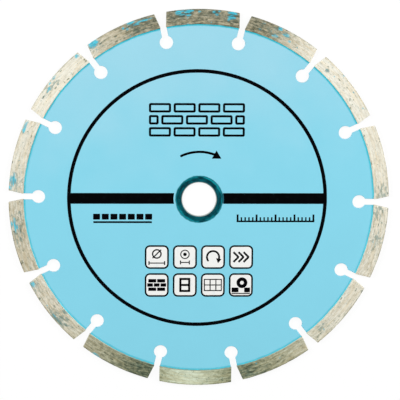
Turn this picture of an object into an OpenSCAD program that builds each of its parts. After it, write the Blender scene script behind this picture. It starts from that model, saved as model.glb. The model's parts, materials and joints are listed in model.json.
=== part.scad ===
// Segmented diamond blade for an angle grinder, lying flat.
// The origin is in the middle of the arbor hole, halfway through the thickness. +Z is the blade's axis and
// points out of the printed face, +X runs along a slot and +Y through the middle of a segment.

/* [Blade] */
// Diameter over the outside of the segments
blade_d = 180; // [150:1:230]
// Number of segments, with a slot between each two
segment_count = 14; // [10:1:18]

/* [Steel core] */
// Thickness of the core
core_t = 1.6; // [1.4:0.1:2]
// Diameter of the arbor hole in the core
core_bore_d = 22.23; // [20:0.01:25.4]
// Chamfer on both edges of the arbor hole in the core
core_bore_chamfer = 0.2; // [0.1:0.05:0.4]

/* [Slots] */
// Width of a slot through the rim of the core
slot_w = 3; // [2:0.1:3.6]
// Diameter of the keyhole at the inner end of a slot
keyhole_d = 6.3; // [4.5:0.1:8]
// Distance from the rim of the core in to the middle of a keyhole
keyhole_depth = 7.1; // [5:0.1:10]
// Broken edge along the slots and keyholes on both faces
slot_edge_break = 0.15; // [0.05:0.05:0.3]

/* [Diamond segments] */
// Height of a segment, from the rim of the core outwards
segment_h = 7; // [5:0.1:10]
// Thickness of a segment, which sets the width of the cut
segment_t = 2.4; // [2.2:0.1:3.2]
// How far each end of a segment reaches past the edge of its slot
segment_overhang = 0.25; // [0:0.05:0.4]
// Chamfer along both outer edges of a segment
segment_chamfer = 0.2; // [0.1:0.05:0.4]

/* [Weld seams] */
// Width of a seam on the face of the core
seam_w = 0.6; // [0.4:0.05:1]
// Depth of the groove that a seam fills, below the face of the core
seam_depth = 0.4; // [0.2:0.05:0.6]
// Height of a seam up the side of a segment, above the face of the core
seam_rise = 0.3; // [0.1:0.05:0.5]

/* [Reducing ring] */
// Diameter of the arbor hole in the ring
ring_bore_d = 16; // [12:0.1:18]
// Radial clearance between the ring and the core
ring_clearance = 0.02; // [0.01:0.005:0.05]
// Depth of each face of the ring below the face of the core
ring_recess = 0.1; // [0:0.05:0.2]
// Chamfer on all four edges of the ring
ring_chamfer = 0.3; // [0.1:0.05:0.4]

/* [Hidden] */
$fn = 180;
blade_r = blade_d / 2;
rim_r = blade_r - segment_h;
core_bore_r = core_bore_d / 2;
pitch = 360 / segment_count;
slot_half_w = slot_w / 2;
keyhole_r = keyhole_d / 2;
keyhole_circle_r = rim_r - keyhole_depth;
// A segment's ends are square to its own middle line and meet the rim just past the edges of its two slots.
segment_half_len = rim_r * sin(pitch / 2 - asin((slot_half_w - segment_overhang) / rim_r));
// A seam stays below the face of its segment.
seam_top = min(core_t / 2 + seam_rise, segment_t / 2);
ring_r = core_bore_r - ring_clearance;
ring_t = core_t - 2 * ring_recess;
// Cutters run this far past the faces that they cut.
cut_past = 1;

function two_digits(i) = i < 10 ? str("0", i) : str(i);
function segment_name(i) = str("segment_", two_digits(i));
function seam_name(i) = str("weld_seam_", two_digits(i));
// Segment 1 is centred on +Y, and the others follow clockwise as seen on the printed face.
function segment_angle(i) = 90 - (i - 1) * pitch;

// Half of the section through a slot or keyhole: its wall, and a broken edge at each face.
// It is half_w wide, and its edges open at 45 degrees past the faces of the core.
function edge_broken_half(half_w) = let (
    face = core_t / 2,
    past = face + cut_past,
    flare = slot_edge_break + cut_past
) [
    [half_w + flare, -past],
    [half_w, slot_edge_break - face],
    [half_w, face - slot_edge_break],
    [half_w + flare, past]
];

// Section of a flat ring, with each chamfer given as its width across the face and its depth down the wall.
function ring_section(inner_r, outer_r, thickness, inner_chamfer, outer_chamfer) = let (
    face = thickness / 2
) [
    [inner_r, inner_chamfer.y - face],
    [inner_r + inner_chamfer.x, -face],
    [outer_r - outer_chamfer.x, -face],
    [outer_r, outer_chamfer.y - face],
    [outer_r, face - outer_chamfer.y],
    [outer_r - outer_chamfer.x, face],
    [inner_r + inner_chamfer.x, face],
    [inner_r, face - inner_chamfer.y]
];

// One slot along +X with its keyhole, cut through the core.
module slot_cut() {
    half = edge_broken_half(slot_half_w);
    other_half = [for (i = [len(half) - 1:-1:0]) [-half[i].x, half[i].y]];
    translate([keyhole_circle_r, 0, 0])
        rotate([90, 0, 90])
            linear_extrude(keyhole_depth + cut_past)
                polygon(concat(half, other_half));
    keyhole_half = edge_broken_half(keyhole_r);
    translate([keyhole_circle_r, 0, 0])
        rotate_extrude()
            polygon(concat(
                [[0, keyhole_half[0].y]],
                keyhole_half,
                [[0, keyhole_half[len(keyhole_half) - 1].y]]
            ));
}

// The core: a thin disc, with a groove for the seams along both edges of its rim.
module steel_core() {
    color("skyblue")
        difference() {
            rotate_extrude()
                polygon(ring_section(
                    core_bore_r,
                    rim_r,
                    core_t,
                    [core_bore_chamfer, core_bore_chamfer],
                    [seam_w, seam_depth]
                ));
            for (i = [1:segment_count])
                rotate([0, 0, segment_angle(i) - pitch / 2])
                    slot_cut();
        }
}

// A segment: an arc of the rim with square ends.
module segment(i) {
    face = segment_t / 2;
    color("tan")
        rotate([0, 0, segment_angle(i)])
            intersection() {
                rotate_extrude(angle = pitch, start = -pitch / 2)
                    polygon([
                        [rim_r, -face],
                        [blade_r - segment_chamfer, -face],
                        [blade_r, segment_chamfer - face],
                        [blade_r, face - segment_chamfer],
                        [blade_r - segment_chamfer, face],
                        [rim_r, face]
                    ]);
                translate([0, -segment_half_len, -segment_t])
                    cube([blade_d, 2 * segment_half_len, 2 * segment_t]);
            }
}

// A seam: a bead on each face that fills the groove in the rim and runs up the side of the segment.
// Its ends follow the broken edges of the two slots beside it.
module weld_seam(i) {
    face = core_t / 2;
    color("deepskyblue")
        rotate([0, 0, segment_angle(i)])
            difference() {
                for (side = [0, 1])
                    mirror([0, 0, side])
                        rotate_extrude(angle = pitch, start = -pitch / 2)
                            polygon([
                                [rim_r - seam_w, face],
                                [rim_r, face - seam_depth],
                                [rim_r, seam_top]
                            ]);
                for (turn = [-pitch / 2, pitch / 2])
                    rotate([0, 0, turn])
                        slot_cut();
            }
}

// The ring that reduces the arbor hole, a push fit in the core.
module reducing_ring() {
    chamfer = [ring_chamfer, ring_chamfer];
    color("darkslategray")
        rotate_extrude()
            polygon(ring_section(ring_bore_d / 2, ring_r, ring_t, chamfer, chamfer));
}

steel_core();
reducing_ring();
for (i = [1:segment_count]) {
    segment(i);
    weld_seam(i);
}
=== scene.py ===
"""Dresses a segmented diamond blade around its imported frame: paint, print, seams, segments and light.

Lengths are in millimetres and angles in radians, and the finished pieces are brought to metres.
"""

import json
import logging
import math
import random
from collections.abc import Callable, Iterator, Sequence
from contextlib import contextmanager
from dataclasses import dataclass, field
from enum import Enum
from typing import Any, Self

import bmesh
import bpy
import numpy as np
from mathutils import Matrix, Vector


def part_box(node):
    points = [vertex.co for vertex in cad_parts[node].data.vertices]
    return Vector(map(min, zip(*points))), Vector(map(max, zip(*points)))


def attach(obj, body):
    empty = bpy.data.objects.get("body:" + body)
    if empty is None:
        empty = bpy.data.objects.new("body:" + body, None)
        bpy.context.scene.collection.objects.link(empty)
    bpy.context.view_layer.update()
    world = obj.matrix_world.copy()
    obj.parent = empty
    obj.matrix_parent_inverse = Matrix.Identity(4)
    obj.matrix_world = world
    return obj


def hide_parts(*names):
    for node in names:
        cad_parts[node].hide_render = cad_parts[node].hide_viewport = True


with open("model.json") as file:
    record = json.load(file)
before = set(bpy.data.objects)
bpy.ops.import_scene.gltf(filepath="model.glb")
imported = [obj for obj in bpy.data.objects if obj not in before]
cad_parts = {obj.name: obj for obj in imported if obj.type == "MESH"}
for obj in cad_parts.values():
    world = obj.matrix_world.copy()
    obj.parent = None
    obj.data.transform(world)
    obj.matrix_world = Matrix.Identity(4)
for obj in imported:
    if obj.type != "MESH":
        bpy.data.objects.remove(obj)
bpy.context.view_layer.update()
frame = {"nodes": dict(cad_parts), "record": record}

Colour = tuple[float, float, float, float]
Point = tuple[float, float, float]
Pair = tuple[float, float]

MM = 0.001
# The length of a flat strip before it is bent or stretched to its place.
STRIP = 2.0
ORIGIN: Point = (0.0, 0.0, 0.0)
AXLE: Point = (0.0, 0.0, 1.0)
BLACK: Colour = (0.0, 0.0, 0.0, 1.0)
WHITE: Colour = (1.0, 1.0, 1.0, 1.0)
BLADE_BODY = "blade"
LOG = logging.getLogger("blade")


def srgb(red: int, green: int, blue: int) -> Colour:
    """Turns a colour as a screen shows it into the linear one that shaders use.

    Args:
        red: Red, from 0 to 255.
        green: Green, from 0 to 255.
        blue: Blue, from 0 to 255.

    Returns:
        The linear colour, opaque.
    """
    shares = (red / 255, green / 255, blue / 255)
    linear = [s / 12.92 if s <= 0.04045 else ((s + 0.055) / 1.055) ** 2.4 for s in shares]
    return (linear[0], linear[1], linear[2], 1.0)


def resize(x: float, y: float, z: float = 1.0) -> None:
    """Scales what is selected in edit mode, about the origin."""
    bpy.ops.transform.resize(value=(x, y, z), center_override=ORIGIN)


class Axis(Enum):
    """The axes of the frame, as positions in a vector."""

    X = 0
    Y = 1
    Z = 2


class Workpiece:
    """A mesh on the bench, shaped in millimetres with Blender's own operators.

    A cut leaves edges whole that are no longer than least_cut.
    """

    least_cut = 1.0

    def __init__(self, item: bpy.types.Object) -> None:
        """Takes hold of an object."""
        self.item = item

    @property
    def mesh(self) -> bpy.types.Mesh:
        """The object's mesh."""
        return self.item.data

    @classmethod
    def add(cls, primitive: Callable[..., set[str]], **options: Any) -> Self:
        """Adds a primitive with nothing else selected.

        Args:
            primitive: The operator that adds it.
            options: The operator's own settings.

        Returns:
            The new piece.
        """
        bpy.ops.object.select_all(action="DESELECT")
        primitive(**options)
        return cls(bpy.context.object)

    @classmethod
    def cube(cls) -> Self:
        """A cube of 1 mm, centred on the origin."""
        return cls.add(bpy.ops.mesh.primitive_cube_add, size=1.0)

    @classmethod
    def disc(cls, radius: float, steps: int) -> Self:
        """A flat filled circle in the XY plane, or a polygon where it has few steps."""
        return cls.add(bpy.ops.mesh.primitive_circle_add, vertices=steps, radius=radius, fill_type="NGON")

    @classmethod
    def hoop(cls, radius: float, stroke: float, steps: int) -> Self:
        """A flat ring in the XY plane, centred on the origin.

        Args:
            radius: The radius of its middle line.
            stroke: Its width.
            steps: How many straight stretches it has.

        Returns:
            The new piece.
        """
        outer, inner = radius + stroke / 2, radius - stroke / 2
        piece = cls.add(bpy.ops.mesh.primitive_circle_add, vertices=steps, radius=outer)
        with piece.editing():
            bpy.ops.mesh.extrude_edges_move()
            resize(inner / outer, inner / outer)
        return piece

    @classmethod
    def sheet(cls, width: float, height: float) -> Self:
        """A flat rectangle in the XY plane, centred on the origin.

        Args:
            width: Its size along X.
            height: Its size along Y.

        Returns:
            The new piece.
        """
        piece = cls.add(bpy.ops.mesh.primitive_plane_add, size=1.0)
        with piece.editing():
            resize(width, height)
        return piece

    @classmethod
    def plate(cls, width: float, height: float, corner: float, steps: int) -> Self:
        """A flat rectangle with rounded corners, centred on the origin.

        Args:
            width: Its size along X.
            height: Its size along Y.
            corner: The radius of its corners.
            steps: How many straight stretches a corner has.

        Returns:
            The new piece.
        """
        piece = cls.sheet(width, height)
        with piece.editing():
            bpy.ops.mesh.bevel(offset=corner, segments=steps, affect="VERTICES")
        return piece

    def pick(self) -> None:
        """Selects this piece alone and makes it the active one."""
        bpy.ops.object.select_all(action="DESELECT")
        self.item.select_set(True)
        bpy.context.view_layer.objects.active = self.item

    @contextmanager
    def editing(self) -> Iterator[None]:
        """Opens the mesh in edit mode with all of it selected, and leaves edit mode at the end."""
        self.pick()
        bpy.ops.object.mode_set(mode="EDIT")
        bpy.ops.mesh.select_all(action="SELECT")
        try:
            yield
        finally:
            bpy.ops.object.mode_set(mode="OBJECT")

    def cut(self, axis: Axis, cuts: int) -> Self:
        """Cuts the long edges that run along an axis into equal lengths.

        Args:
            axis: The axis that the edges run along.
            cuts: How many cuts each edge gets.

        Returns:
            This piece.
        """
        with self.editing():
            bpy.ops.mesh.select_mode(type="EDGE")
            bpy.ops.mesh.select_all(action="DESELECT")
            mesh = bmesh.from_edit_mesh(self.mesh)
            for edge in mesh.edges:
                first, last = (vertex.co[axis.value] for vertex in edge.verts)
                if abs(last - first) > self.least_cut:
                    edge.select_set(True)
            mesh.select_flush_mode()
            bmesh.update_edit_mesh(self.mesh)
            bpy.ops.mesh.subdivide(number_cuts=cuts)
        return self

    def place(self, move: Sequence[float] = ORIGIN, turn: float = 0.0) -> Self:
        """Turns the piece about Z and moves it, with its place kept in its mesh."""
        self.mesh.transform(Matrix.Translation(move) @ Matrix.Rotation(turn, 4, "Z"))
        return self

    def reshape(self, move: Callable[[Vector], Vector]) -> Self:
        """Moves every point by a formula.

        Args:
            move: Gives the new place of a point.

        Returns:
            This piece.
        """
        for vertex in self.mesh.vertices:
            vertex.co = move(vertex.co)
        self.mesh.update()
        return self

    def modify(self, kind: str, **settings: Any) -> Self:
        """Adds a modifier and applies it.

        Args:
            kind: The kind of modifier.
            settings: Its settings.

        Returns:
            This piece.
        """
        self.pick()
        modifier = self.item.modifiers.new(kind.lower(), kind)
        for key, value in settings.items():
            setattr(modifier, key, value)
        bpy.ops.object.modifier_apply(modifier=modifier.name)
        return self

    def copy(self) -> "Workpiece":
        """Makes a copy with its own mesh.

        Returns:
            The copy.
        """
        twin = self.item.copy()
        twin.data = self.mesh.copy()
        bpy.context.scene.collection.objects.link(twin)
        return Workpiece(twin)

    def join(self, others: Sequence["Workpiece"]) -> Self:
        """Joins other pieces, if there are any, into this one.

        Args:
            others: The pieces that go in.

        Returns:
            This piece.
        """
        self.pick()
        for other in others:
            other.item.select_set(True)
        if others:
            bpy.ops.object.join()
        return self

    def discard(self) -> None:
        """Takes the piece off the bench."""
        bpy.data.objects.remove(self.item, do_unlink=True)

    def points(self) -> np.ndarray:
        """Gives the places of all points.

        Returns:
            A row each of X, Y and Z.
        """
        values = np.zeros(len(self.mesh.vertices) * 3, np.float32)
        self.mesh.vertices.foreach_get("co", values)
        return values.reshape(-1, 3).T

    def write(self, attribute: str, values: np.ndarray) -> None:
        """Stores one number for each point, under a name that a material reads."""
        layer = self.mesh.attributes.new(attribute, "FLOAT", "POINT")
        layer.data.foreach_set("value", values.astype(np.float32))

    def group(self, name: str, weights: np.ndarray) -> None:
        """Makes a vertex group.

        Args:
            name: The group's name.
            weights: A weight from 0 to 1 for each point.
        """
        members = self.item.vertex_groups.new(name=name)
        for index, weight in enumerate(weights):
            members.add([index], float(weight), "REPLACE")

    def settle(
        self, name: str, finish: bpy.types.Material, smooth: float, slot: str | None = None
    ) -> bpy.types.Object:
        """Names the finished piece, brings it to metres, dresses it and lets it ride on the blade.

        Args:
            name: The name of the piece.
            finish: Its material.
            smooth: The angle below which edges are shaded smooth.
            slot: The record's material slot; it is not used.

        Returns:
            The finished object.
        """
        self.item.name = name
        self.mesh.name = name
        self.mesh.transform(Matrix.Scale(MM, 4))
        with self.editing():
            bpy.ops.mesh.normals_make_consistent(inside=False)
        bpy.ops.object.shade_smooth_by_angle(angle=smooth)
        self.mesh.materials.append(finish)
        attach(self.item, BLADE_BODY)
        LOG.info("%s: %d faces", name, len(self.mesh.polygons))
        return self.item


class Signal:
    """A shader socket whose operators add nodes, so that shader maths reads as arithmetic."""

    def __init__(self, recipe: "Recipe", socket: bpy.types.NodeSocket) -> None:
        """Wraps one output of a node in a recipe."""
        self.recipe = recipe
        self.socket = socket

    def __add__(self, other: "Number") -> "Signal":
        """Adds a number."""
        return self.recipe.math("ADD", self, other)

    def __radd__(self, other: float) -> "Signal":
        """Is added to a number."""
        return self.recipe.math("ADD", other, self)

    def __sub__(self, other: "Number") -> "Signal":
        """Takes a number away."""
        return self.recipe.math("SUBTRACT", self, other)

    def __rsub__(self, other: float) -> "Signal":
        """Is taken away from a number."""
        return self.recipe.math("SUBTRACT", other, self)

    def __mul__(self, other: "Number") -> "Signal":
        """Multiplies by a number."""
        return self.recipe.math("MULTIPLY", self, other)

    def __rmul__(self, other: float) -> "Signal":
        """Multiplies a number."""
        return self.recipe.math("MULTIPLY", other, self)

    def __truediv__(self, other: "Number") -> "Signal":
        """Divides by a number."""
        return self.recipe.math("DIVIDE", self, other)

    def __pow__(self, power: float) -> "Signal":
        """Raises to a power."""
        return self.recipe.math("POWER", self, power)

    def sway(self, width: float) -> "Signal":
        """Turns noise about 0.5 into a swing about 0, of the width given."""
        return (self - 0.5) * width

    def step(self, low: float, high: float) -> "Signal":
        """Rises smoothly from 0 at low to 1 at high, or falls where low is the larger.

        Args:
            low: The value that gives 0.
            high: The value that gives 1.

        Returns:
            The smooth step.
        """
        ends = {low: 0.0, high: 1.0}
        least, most = sorted(ends)
        inputs = {
            "Value": self,
            "From Min": least,
            "From Max": most,
            "To Min": ends[least],
            "To Max": ends[most],
        }
        return self.recipe.signal("ShaderNodeMapRange", {"interpolation_type": "SMOOTHSTEP"}, inputs)


Number = Signal | float
Value = Number | Colour | Point


class Recipe:
    """A material in the making: every node comes from one method, and the shader comes last.

    The outputs of a Mix node share a name, so the mixed colour goes by its number.
    """

    mixed_colour = 2

    def __init__(self, name: str) -> None:
        """Starts a material with the place on the surface, in millimetres of the frame.

        Args:
            name: The name of the material.
        """
        self.material = bpy.data.materials.new(name)
        self.material.use_nodes = True
        self.tree = self.material.node_tree
        self.tree.nodes.clear()
        self.point = self.scale(self.signal("ShaderNodeTexCoord", output="Object"), 1 / MM)

    def node(
        self, kind: str, settings: dict[str, Any] | None = None, inputs: dict[str, Value] | None = None
    ) -> bpy.types.Node:
        """Adds one node.

        Args:
            kind: The node's type.
            settings: Its own settings, which are set first.
            inputs: Its sockets by identifier, each with a number, a colour or a link.

        Returns:
            The node.
        """
        made = self.tree.nodes.new(kind)
        for key, value in (settings or {}).items():
            setattr(made, key, value)
        sockets = {socket.identifier: socket for socket in made.inputs}
        for key, value in (inputs or {}).items():
            if isinstance(value, Signal):
                self.tree.links.new(value.socket, sockets[key])
            else:
                sockets[key].default_value = value
        return made

    def signal(
        self,
        kind: str,
        settings: dict[str, Any] | None = None,
        inputs: dict[str, Value] | None = None,
        output: str | int = 0,
    ) -> Signal:
        """Adds one node and takes hold of one of its outputs, by name or number."""
        return Signal(self, self.node(kind, settings, inputs).outputs[output])

    def math(self, operation: str, first: Number, second: Number) -> Signal:
        """Adds a Math node."""
        return self.signal("ShaderNodeMath", {"operation": operation}, {"Value": first, "Value_001": second})

    def scale(self, vector: Signal, factor: Number) -> Signal:
        """Multiplies a vector or a colour by a number."""
        inputs = {"Vector": vector, "Scale": factor}
        return self.signal("ShaderNodeVectorMath", {"operation": "SCALE"}, inputs)

    def split(self, vector: Signal) -> tuple[Signal, ...]:
        """Gives the three numbers of a vector."""
        outputs = self.node("ShaderNodeSeparateXYZ", inputs={"Vector": vector}).outputs
        return tuple(Signal(self, output) for output in outputs)

    def vector(self, x: Number, y: Number, z: Number = 0.0) -> Signal:
        """Makes a vector of three numbers."""
        return self.signal("ShaderNodeCombineXYZ", inputs={"X": x, "Y": y, "Z": z})

    def round_axle(self) -> tuple[Signal, ...]:
        """Gives X, Y and Z on the surface and the distance from the blade's axis, in millimetres."""
        x, y, z = self.split(self.point)
        return x, y, z, (x * x + y * y) ** 0.5

    def attribute(self, name: str) -> Signal:
        """Reads a number that the piece stores for each point."""
        return self.signal("ShaderNodeAttribute", {"attribute_name": name}, output="Fac")

    def noise(self, vector: Signal, scale: float, detail: float = 2.0, rough: float = 0.5) -> Signal:
        """Adds noise about 0.5, by its blotches in a millimetre and its finer layers and their strength."""
        inputs = {"Vector": vector, "Scale": scale, "Detail": detail, "Roughness": rough}
        return self.signal("ShaderNodeTexNoise", inputs=inputs)

    def dots(self, vector: Signal, scale: float, size: float, share: float, ragged: Number = 0.0) -> Signal:
        """Adds scattered dots with soft edges.

        Args:
            vector: Where they are read.
            scale: How many places for a dot there are in a millimetre.
            size: The radius of a dot, as a share of that spacing.
            share: The share of the places that have a dot.
            ragged: What is taken off the radius, place by place.

        Returns:
            A mask that is 1 in the middle of a dot.
        """
        cells = self.node("ShaderNodeTexVoronoi", {"feature": "F1"}, {"Vector": vector, "Scale": scale})
        chance = self.split(Signal(self, cells.outputs["Color"]))[0]
        away = Signal(self, cells.outputs["Distance"]) + ragged
        return away.step(size, size * 0.5) * chance.step(share + 0.01, share)

    def mix(self, mask: Number, first: Value, second: Value, blend: str = "MIX") -> Signal:
        """Mixes two colours.

        Args:
            mask: 0 gives the first and 1 the second.
            first: The first colour.
            second: The second colour.
            blend: How the second acts on the first.

        Returns:
            The mixed colour.
        """
        settings = {"data_type": "RGBA", "blend_type": blend, "clamp_factor": True}
        inputs = {"Factor_Float": mask, "A_Color": first, "B_Color": second}
        return self.signal("ShaderNodeMix", settings, inputs, self.mixed_colour)

    def tint(self, mask: Number, colour: Value, film: Value) -> Signal:
        """Filters a colour through the colour of a film, as a stain does, as far as a mask says."""
        return self.mix(mask, colour, film, "MULTIPLY")

    def bump(self, height: Signal, depth: float) -> Signal:
        """Turns a height from 0 to 1 into a normal, by the depth in millimetres that 1 stands for."""
        return self.signal("ShaderNodeBump", inputs={"Height": height, "Distance": depth * MM})

    def surface(self, **sockets: Value) -> bpy.types.Material:
        """Ends the material in one Principled surface.

        Args:
            sockets: The surface's sockets, with _ for a space.

        Returns:
            The finished material.
        """
        inputs = {key.replace("_", " "): value for key, value in sockets.items()}
        return self.end(self.signal("ShaderNodeBsdfPrincipled", inputs=inputs))

    def end(self, shader: Signal) -> bpy.types.Material:
        """Ends the material in a shader."""
        self.node("ShaderNodeOutputMaterial", inputs={"Surface": shader})
        return self.material


@dataclass(frozen=True)
class CorePaint:
    """Satin spray paint on the steel core, pooled against the seams at the rim and spilled beside the ring.

    The paint changes between two distances: in from the rim, where darker paint gathers against the seams
    and a painted shade of the step darkens it, and out from the hole elsewhere.
    """

    rim_r: float
    hole_r: float
    colour: Colour = srgb(135, 215, 236)
    painted_top_light: Colour = srgb(155, 215, 233)
    pooled_and_shaded: Colour = srgb(70, 190, 212)
    speck: Colour = srgb(78, 176, 200)
    fringe: Colour = srgb(24, 136, 150)
    spilled: Colour = srgb(10, 92, 106)
    pool_and_shade_edge: Pair = (1.36, 0.62)
    fringe_edge: Pair = (0.42, 0.02)
    spill_edge: Pair = (1.1, 0.6)
    spill_y: float = 0.56
    spill_half: float = 2.42
    spill_blur: float = 0.1
    depth: float = 0.008

    def make(self) -> bpy.types.Material:
        """Builds the material.

        Returns:
            The paint.
        """
        recipe = Recipe("core_paint")
        x, y, z, radius = recipe.round_axle()
        cloud = recipe.noise(recipe.point, scale=0.05, detail=3.0)
        grain = recipe.noise(recipe.point, scale=2.6)
        peel = recipe.noise(recipe.point, scale=0.9)
        swell = recipe.noise(recipe.point, scale=0.16)
        shore = radius - y / radius * 0.1 + peel.sway(0.3) + swell.sway(0.7)
        # Painted shade: the darker band of paint against the seams is also painted shade of the step there.
        pool_and_shade = shore.step(*(self.rim_r - width for width in self.pool_and_shade_edge))
        # Painted light: the paint is painted paler towards the top left, as light from above would leave it.
        painted_top_light_mask = (y - x * 0.12 + cloud.sway(60.0)).step(0.0, self.rim_r)
        paint = recipe.mix(pool_and_shade * 0.75, recipe.mix(painted_top_light_mask, self.colour, self.painted_top_light), self.pooled_and_shaded)
        specks = recipe.dots(recipe.vector(x, y), scale=0.075, size=0.03, share=0.3)
        ragged = radius + recipe.noise(recipe.point, scale=0.45).sway(0.8)
        fringe = ragged.step(*(self.hole_r + width for width in self.fringe_edge))
        reach = ragged.step(*(self.hole_r + width for width in self.spill_edge))
        aside = recipe.math("ABSOLUTE", y - self.spill_y, 0.0)
        beside = aside.step(self.spill_half + self.spill_blur, self.spill_half - self.spill_blur)
        spill = reach * beside * x.step(0.0, 1.0) * z.step(0.0, 0.5)
        edged = recipe.mix(fringe * 0.9, recipe.mix(specks * 0.7, paint, self.speck), self.fringe)
        sprayed = recipe.mix(spill, edged, self.spilled)
        return recipe.surface(
            Base_Color=recipe.scale(sprayed, 1.0 + cloud.sway(0.05) + grain.sway(0.06)),
            Roughness=0.36 + cloud.sway(0.1) + grain.sway(0.1),
            Normal=recipe.bump(peel * 0.6 + grain * 0.4 - specks * 0.5, self.depth),
        )


@dataclass(frozen=True)
class SeamPaint:
    """Thick glossy paint on the weld seams, rubbed off between two distances in from the rim, to bare metal
    that is painted pale at the sides and dull at the top and bottom, as painted sheen.
    """

    rim_r: float
    colour: Colour = srgb(58, 210, 228)
    deep: Colour = srgb(18, 172, 190)
    bare: Colour = srgb(214, 210, 190)
    bare_painted_shade: Colour = srgb(140, 146, 126)
    rub_edge: Pair = (0.24, 0.1)
    depth: float = 0.03

    def make(self) -> bpy.types.Material:
        """Builds the material.

        Returns:
            The paint.
        """
        recipe = Recipe("seam_paint")
        x, y, _, radius = recipe.round_axle()
        run = recipe.noise(recipe.point, scale=0.7, detail=3.0)
        swell = recipe.noise(recipe.point, scale=0.16)
        fine = recipe.noise(recipe.point, scale=4.0)
        crest = radius - y / radius * 0.16 + run.sway(0.3) + swell.sway(0.5)
        rub = crest.step(*(self.rim_r - width for width in self.rub_edge))
        paint = recipe.mix((run * 0.5 + swell * 0.5).step(0.36, 0.64) * 0.8, self.colour, self.deep)
        # Painted sheen: the bare metal is painted paler where the seam runs up the sides and darker at the
        # top and bottom, as the side lights would light it.
        painted_sheen_side = recipe.math("ABSOLUTE", x / radius, 0.0).step(0.25, 0.75)
        return recipe.surface(
            Base_Color=recipe.mix(rub * 0.9, paint, recipe.mix(painted_sheen_side, self.bare_painted_shade, self.bare)),
            Roughness=0.24 + run * 0.15 + rub * 0.15,
            Normal=recipe.bump(run * 0.7 + fine * 0.3, self.depth),
        )


@dataclass(frozen=True)
class GroundSinter:
    """Sintered metal of the segments: ground along the rim, stained, smeared with core paint, and painted
    paler or darker by a painted sheen.
    """

    middle_r: float
    light: Colour = srgb(253, 250, 235)
    tan: Colour = srgb(187, 180, 153)
    dark: Colour = srgb(84, 90, 72)
    straw: Colour = srgb(250, 230, 196)
    olive: Colour = srgb(240, 255, 244)
    stain: Colour = srgb(142, 176, 184)
    stain_deep: Colour = srgb(40, 140, 160)
    fleck: Colour = srgb(128, 152, 150)
    pit: Colour = srgb(166, 176, 170)
    residue: Colour = srgb(70, 207, 230)
    residue_deep: Colour = srgb(30, 160, 186)
    depth: float = 0.03

    def make(self) -> bpy.types.Material:
        """Builds the material.

        Returns:
            The metal.
        """
        recipe = Recipe("segment_metal")
        x, y, z, radius = recipe.round_axle()
        arc = recipe.math("ARCTAN2", y, x) * self.middle_r

        def grain(along: float, across: float, layer: float, detail: float) -> Signal:
            """Gives noise that runs along the rim, by its blotches in a millimetre along and across."""
            stretched = recipe.vector(arc * along, radius * across, z * across + layer)
            return recipe.noise(stretched, scale=1.0, detail=detail, rough=0.6)

        crumb = grain(along=2.2, across=3.2, layer=50.0, detail=3.0)
        blotch = grain(along=0.42, across=0.9, layer=10.0, detail=3.0)
        streak = grain(along=0.14, across=1.6, layer=0.0, detail=4.0)
        scratch = grain(along=0.3, across=8.0, layer=30.0, detail=2.0)
        torn = grain(along=0.33, across=1.7, layer=-40.0, detail=5.0)
        warm = grain(along=0.12, across=1.3, layer=20.0, detail=4.0).step(0.4, 0.7)
        flecks = grain(along=0.8, across=1.2, layer=40.0, detail=4.0).step(0.62, 0.7)
        cloudy = grain(along=0.45, across=1.0, layer=-20.0, detail=4.0)
        long_pits = recipe.vector(arc * 0.5, radius, z)
        pits = recipe.dots(long_pits, scale=0.54, size=0.26, share=0.32, ragged=crumb.sway(0.55))
        long_specks = recipe.vector(arc * 0.7, radius, z + 5.0)
        specks = recipe.dots(long_specks, scale=0.5, size=0.2, share=0.14, ragged=torn.sway(0.5))

        mottle = blotch.sway(1.0) + streak.sway(0.9) + scratch.sway(0.35) + crumb.sway(0.5)
        # Painted sheen: the stored value paints each stretch pale or dark as the side lights would light it;
        # the mottle varies it.
        level = recipe.attribute("tone") + mottle
        deep = recipe.mix(level.step(-0.15, 0.5), self.dark, self.tan)
        metal = recipe.mix(level.step(0.25, 1.2), deep, self.light)
        warmed = recipe.tint(warm * 0.45, metal, self.straw)
        # Painted sheen: a green tint is painted on the dull, low stretches.
        ground = recipe.tint(recipe.attribute("olive"), warmed, self.olive)

        stain = recipe.attribute("stain")
        film = (cloudy + stain * 0.16).step(0.56, 0.76) * (0.2 + crumb)
        film_colour = recipe.mix(stain.step(1.0, 2.4), self.stain, self.stain_deep)
        stained = recipe.tint(flecks * 0.8, recipe.tint(film, ground, film_colour), self.fleck)

        paint = recipe.attribute("paint")
        patches = (paint + torn.sway(3.4)).step(-0.05, 1.2) * paint.step(0.0, 0.3)
        smear = recipe.math("MAXIMUM", patches, specks * 0.6)
        smear_colour = recipe.mix(torn.step(0.35, 0.65), self.residue_deep, self.residue)
        height = crumb * 0.6 + scratch * 0.4 + blotch * 0.4 - flecks * 0.5 - pits * 0.5 + smear * 0.3
        return recipe.surface(
            Base_Color=recipe.mix(smear * 0.94, recipe.tint(pits, stained, self.pit), smear_colour),
            Metallic=(1.0 - smear) * (0.18 - flecks * 0.1),
            Roughness=0.42 + streak.sway(0.25) + flecks * 0.15,
            Normal=recipe.bump(height, self.depth),
        )


@dataclass(frozen=True)
class GritCrystal:
    """Synthetic diamond: a clear yellow-green stone, cloudy inside and sharp at its faces."""

    colour: Colour = srgb(168, 170, 132)
    cloudy: Colour = srgb(96, 104, 88)
    refraction: float = 2.4

    def make(self) -> bpy.types.Material:
        """Builds the material.

        Returns:
            The stone.
        """
        recipe = Recipe("diamond_grit")
        cloud = recipe.noise(recipe.point, scale=2.5, detail=3.0)
        return recipe.surface(
            Base_Color=recipe.mix(cloud.step(0.35, 0.65), self.colour, self.cloudy),
            Roughness=0.08 + cloud * 0.15,
            IOR=self.refraction,
        )


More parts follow.
